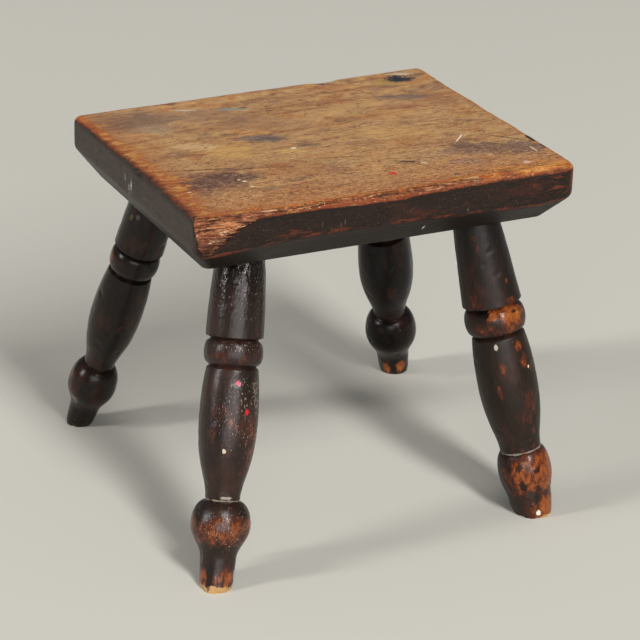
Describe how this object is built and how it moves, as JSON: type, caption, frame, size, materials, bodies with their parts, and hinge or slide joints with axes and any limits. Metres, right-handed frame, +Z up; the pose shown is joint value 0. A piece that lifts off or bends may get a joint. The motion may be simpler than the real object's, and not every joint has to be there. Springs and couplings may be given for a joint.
{
  "type": "milking stool",
  "caption": "Low rectangular milking stool: a thick board with chamfered underside edges on four turned, splayed legs with bead, vase and bulb turnings.",
  "frame": {"origin": "on the floor, under the middle of the whole stool's bounding box", "axes": "+Z up; +X along the board's long side, to the right of someone who faces the front; -Y is the front"},
  "size_m": [0.3014, 0.2966, 0.262],
  "materials": {
    "seat_wood": "worn: rubbed honey-brown top, remains of near-black stain on the edges, satin",
    "leg_wood": "near-black stain worn to red-brown on the turnings, semi-gloss",
    "wedge_wood": "bare, split hardwood, matt"
  },
  "bodies": {
    "root": {"seat_board": "seat_wood", "leg_front_left": "leg_wood", "leg_front_right": "leg_wood", "leg_back_right": "leg_wood", "leg_back_left": "leg_wood", "wedge_front_left": "wedge_wood", "wedge_front_right": "wedge_wood", "wedge_back_right": "wedge_wood", "wedge_back_left": "wedge_wood"}
  },
  "joints": []
}
